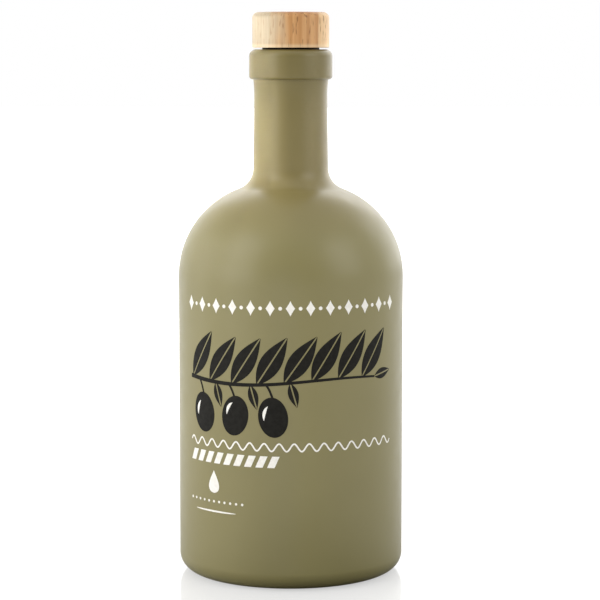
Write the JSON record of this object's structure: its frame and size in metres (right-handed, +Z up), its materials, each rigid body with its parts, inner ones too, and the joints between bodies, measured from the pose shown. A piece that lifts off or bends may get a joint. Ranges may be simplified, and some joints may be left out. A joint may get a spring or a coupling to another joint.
{
  "type": "olive oil bottle",
  "caption": "Round-shouldered opaque glass bottle for olive oil with a straight neck and heavy lip, shut by a stopper with a turned wooden head.",
  "frame": {"origin": "centre of the base, on the surface that the bottle stands on", "axes": "+Z up along the bottle's axis, from base to stopper; the printed front faces -Y"},
  "size_m": [0.08, 0.08, 0.1993],
  "materials": {
    "lacquered_glass": "matt lacquer",
    "beech": "turned, unvarnished",
    "dark_polymer": "matt",
    "white_ink": "screen print",
    "black_ink": "screen print"
  },
  "bodies": {
    "root": {"bottle": "lacquered_glass", "stopper_head": "beech", "stopper_shank": "dark_polymer"}
  },
  "joints": []
}
